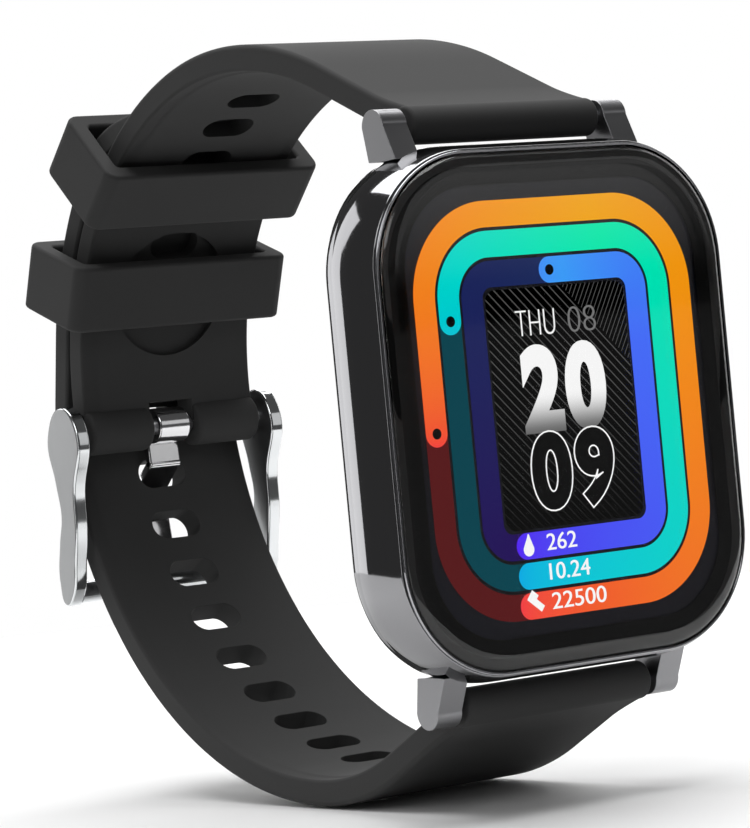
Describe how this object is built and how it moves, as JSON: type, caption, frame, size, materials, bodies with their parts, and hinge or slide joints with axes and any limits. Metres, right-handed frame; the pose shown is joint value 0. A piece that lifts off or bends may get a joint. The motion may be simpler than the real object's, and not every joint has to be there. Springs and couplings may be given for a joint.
{
  "type": "smartwatch",
  "caption": "Rectangular smartwatch with a curved-edge cover glass, a side button and a closed silicone strap with a pin buckle and two sliding keepers.",
  "frame": {"origin": "centre of the sensor window's face, which rests on the wrist", "axes": "+Y out of the back towards the wrist, so the display faces -Y; +Z towards 12 o'clock; +X towards the 3 o'clock side"},
  "size_m": [0.0369, 0.0616, 0.0631],
  "materials": {
    "case_metal": "polished dark grey",
    "bezel_metal": "polished",
    "cover_glass": "gloss black border",
    "seal_rubber": "matt",
    "display": "gloss",
    "circuit_board": "solder mask",
    "chip_black": "matt",
    "shield_tin": "satin",
    "cell_foil": "foil",
    "carrier_plastic": "matt",
    "flex_ribbon": "satin",
    "cover_plastic": "fine texture",
    "window_glass": "gloss",
    "light_lens": "gloss",
    "fastener_steel": "polished",
    "contact_gold": "polished",
    "magnet_nickel": "polished",
    "spring_steel": "satin",
    "plunger_plastic": "matt",
    "strap_silicone": "matt",
    "keeper_silicone": "matt",
    "buckle_steel": "satin",
    "tang_steel": "polished"
  },
  "bodies": {
    "case": {"antenna": "flex_ribbon", "back_cover": "cover_plastic", "back_gasket": "seal_rubber", "battery": "cell_foil", "board_chips": "chip_black", "board_shield": "shield_tin", "buckle_strap": "strap_silicone", "case_frame": "case_metal", "case_screws": "fastener_steel", "charging_contacts": "contact_gold", "charging_magnets": "magnet_nickel", "cover_glass": "cover_glass", "display_flex": "flex_ribbon", "display_panel": "display", "front_bezel": "bezel_metal", "glass_gasket": "seal_rubber", "holed_strap": "strap_silicone", "inner_carrier": "carrier_plastic", "lower_bar_fixed_pin": "spring_steel", "lower_bar_spring": "spring_steel", "lower_bar_tube": "spring_steel", "upper_bar_fixed_pin": "spring_steel", "upper_bar_spring": "spring_steel", "upper_bar_tube": "spring_steel", "main_board": "circuit_board", "sensor_baffle": "carrier_plastic", "sensor_board": "circuit_board", "sensor_diodes": "chip_black", "sensor_flex": "flex_ribbon", "sensor_lights": "light_lens", "sensor_window": "window_glass", "switch_body": "chip_black", "touch_panel": "display", "vibration_motor": "shield_tin"},
    "button": {"button_cap": "case_metal", "button_stem": "spring_steel", "button_seal": "seal_rubber", "button_clip": "spring_steel"},
    "plunger": {"switch_plunger": "plunger_plastic"},
    "upper_release": {"upper_release_pin": "spring_steel"},
    "lower_release": {"lower_release_pin": "spring_steel"},
    "buckle": {"buckle_frame": "buckle_steel", "buckle_pin": "tang_steel"},
    "tang": {"buckle_tang": "tang_steel"},
    "upper_loop": {"upper_keeper": "keeper_silicone"},
    "lower_loop": {"lower_keeper": "keeper_silicone"}
  },
  "joints": [
    {"name": "button_press", "type": "slide", "parent": "case", "child": "button", "axis": [-1, 0, 0], "range_m": [0, 0.0004], "stiffness_N_per_m": 2000},
    {"name": "plunger_press", "type": "slide", "parent": "case", "child": "plunger", "axis": [-1, 0, 0], "range_m": [0, 0.0004]},
    {"name": "upper_release_slide", "type": "slide", "parent": "case", "child": "upper_release", "axis": [-1, 0, 0], "range_m": [0, 0.0011], "stiffness_N_per_m": 600},
    {"name": "lower_release_slide", "type": "slide", "parent": "case", "child": "lower_release", "axis": [-1, 0, 0], "range_m": [0, 0.0011], "stiffness_N_per_m": 600},
    {"name": "buckle_swing", "type": "hinge", "parent": "case", "child": "buckle", "pos_m": [0, 0.0455, 0.0009], "axis": [1, 0, 0], "range_deg": [-1, 3]},
    {"name": "tang_swing", "type": "hinge", "parent": "buckle", "child": "tang", "pos_m": [0, 0.0455, 0.0009], "axis": [1, 0, 0], "range_deg": [0, 2.5]},
    {"name": "upper_keeper_slide", "type": "hinge", "parent": "case", "child": "upper_loop", "pos_m": [0, 0.0188, 0.00393], "axis": [1, 0, 0], "range_deg": [-4, 36]},
    {"name": "lower_keeper_slide", "type": "hinge", "parent": "case", "child": "lower_loop", "pos_m": [0, 0.0188, 0.00393], "axis": [1, 0, 0], "range_deg": [-3, 4]}
  ],
  "couplings": [
    {"joint": "plunger_press", "follows": "button_press", "ratio": 1}
  ]
}
